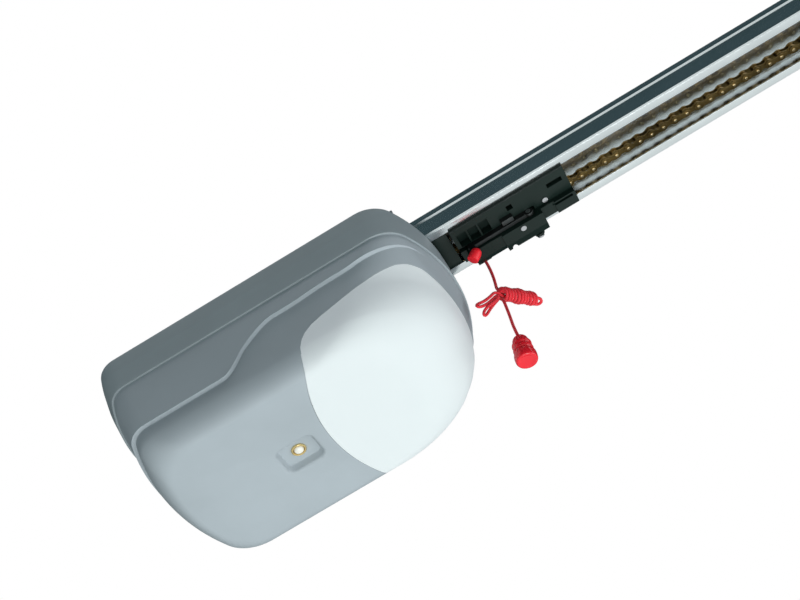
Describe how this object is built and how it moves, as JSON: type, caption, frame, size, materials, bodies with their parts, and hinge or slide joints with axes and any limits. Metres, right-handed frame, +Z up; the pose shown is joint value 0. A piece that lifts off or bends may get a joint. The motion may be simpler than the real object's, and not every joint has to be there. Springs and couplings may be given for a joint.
{
  "type": "garage door opener",
  "caption": "Ceiling-mounted chain-drive garage door opener: plastic drive head with a lamp lens, C-section rail with roller chain, and a trolley with a red release cord and handle.",
  "frame": {"origin": "centre of the ceiling plate's four fixing holes, on the plate's top face", "axes": "+X along the rail towards the door, +Z up towards the ceiling, +Y to the left of +X"},
  "size_m": [3.211, 0.198, 0.219],
  "materials": {
    "housing_grey": "fine moulded texture",
    "cover_grey": "fine moulded texture",
    "lens_white": "milky translucent",
    "zinc_steel": "zinc plated, bright",
    "steel": "machined",
    "dark_steel": "oiled",
    "chain_steel": "oiled and yellow passivated",
    "cast_alloy": "as cast",
    "black_plastic": "moulded nylon",
    "white_plastic": "moulded nylon",
    "red_plastic": "glossy",
    "red_cord": "braided",
    "brass_ring": "polished",
    "button_white": "glossy",
    "board_green": "solder mask",
    "parts_black": "matt",
    "core_brown": "varnished laminations",
    "bulb_glass": "frosted"
  },
  "bodies": {
    "root": {"upper_housing": "housing_grey", "lower_cover": "cover_grey", "chassis_plate": "zinc_steel", "chassis_screws": "steel", "cover_screws": "steel", "cable_gland": "black_plastic", "button_bezel": "brass_ring", "circuit_board": "board_green", "board_parts": "parts_black", "terminal_block": "board_green", "transformer": "core_brown", "motor_can": "cast_alloy", "motor_end_cap": "cast_alloy", "motor_shaft": "steel", "speed_disc": "parts_black", "gearbox_housing": "cast_alloy", "gearbox_lid": "cast_alloy", "shaft_bearings": "steel", "lamp_holder": "white_plastic", "lamp_bulb": "bulb_glass", "ceiling_plate": "zinc_steel", "rail_clamp": "zinc_steel", "spacer_tubes": "zinc_steel", "clamp_bolts": "steel", "rail": "zinc_steel", "chain": "chain_steel", "stop_rear": "black_plastic", "stop_front": "black_plastic", "idler_axle": "steel", "idler_fork": "zinc_steel", "rail_end_bracket": "zinc_steel", "end_bracket_bolts": "steel", "tension_bolt": "steel", "tension_spring": "steel", "tension_nut": "steel", "header_pin": "steel"},
    "lens": {"lamp_lens": "lens_white"},
    "button": {"push_button": "button_white", "button_spring": "steel"},
    "drive": {"drive_sprocket": "dark_steel", "output_shaft": "steel", "worm_wheel": "white_plastic"},
    "idler": {"idler_sprocket": "dark_steel"},
    "header": {"header_bracket": "zinc_steel"},
    "trolley": {"trolley_body": "black_plastic", "trolley_glides": "white_plastic", "trolley_screws": "steel", "chain_connector": "dark_steel"},
    "latch_slide": {"latch": "steel"},
    "lever": {"release_lever": "red_plastic", "lever_pin": "steel", "lever_spring": "steel", "latch_arm": "dark_steel", "release_knob": "red_plastic"},
    "pull_cord": {"cord_knot": "red_cord", "cord_upper": "red_cord", "cord_hank": "red_cord", "cord_lower": "red_cord", "pull_handle": "red_plastic"}
  },
  "joints": [
    {"name": "trolley_slide", "type": "slide", "parent": "root", "child": "trolley", "axis": [1, 0, 0], "range_m": [0, 2.4003]},
    {"name": "drive_spin", "type": "hinge", "parent": "root", "child": "drive", "pos_m": [0.07, 0, -0.016], "axis": [0, 0, 1], "range_deg": [-8506, 0]},
    {"name": "idler_spin", "type": "hinge", "parent": "root", "child": "idler", "pos_m": [2.864, 0, -0.016], "axis": [0, 0, 1], "range_deg": [-8506, 0]},
    {"name": "button_press", "type": "slide", "parent": "root", "child": "button", "axis": [0, 0, 1], "range_m": [0, 0.0015], "stiffness_N_per_m": 800, "springref_m": -0.0005, "deforming": ["button_spring"]},
    {"name": "lens_pull", "type": "slide", "parent": "root", "child": "lens", "axis": [0, 0, -1], "range_m": [0, 0.05]},
    {"name": "header_pivot", "type": "hinge", "parent": "root", "child": "header", "pos_m": [3, 0, -0.018], "axis": [0, 1, 0], "range_deg": [-10, 35]},
    {"name": "cord_pull", "type": "slide", "parent": "trolley", "child": "pull_cord", "axis": [0, 0, -1], "range_m": [0, 0.018], "stiffness_N_per_m": 400, "springref_m": -0.01},
    {"name": "lever_tilt", "type": "hinge", "parent": "trolley", "child": "lever", "pos_m": [0.275, 0.02, -0.0382], "axis": [0, -1, 0], "range_deg": [0, 18.2]},
    {"name": "latch_drop", "type": "slide", "parent": "trolley", "child": "latch_slide", "axis": [0, 0, -1], "range_m": [0, 0.0068]}
  ],
  "couplings": [
    {"joint": "drive_spin", "follows": "trolley_slide", "rad_per_m": -61.842},
    {"joint": "idler_spin", "follows": "trolley_slide", "rad_per_m": -61.842},
    {"joint": "lever_tilt", "follows": "cord_pull", "rad_per_m": 17.241},
    {"joint": "latch_drop", "follows": "cord_pull", "ratio": 0.36207}
  ]
}
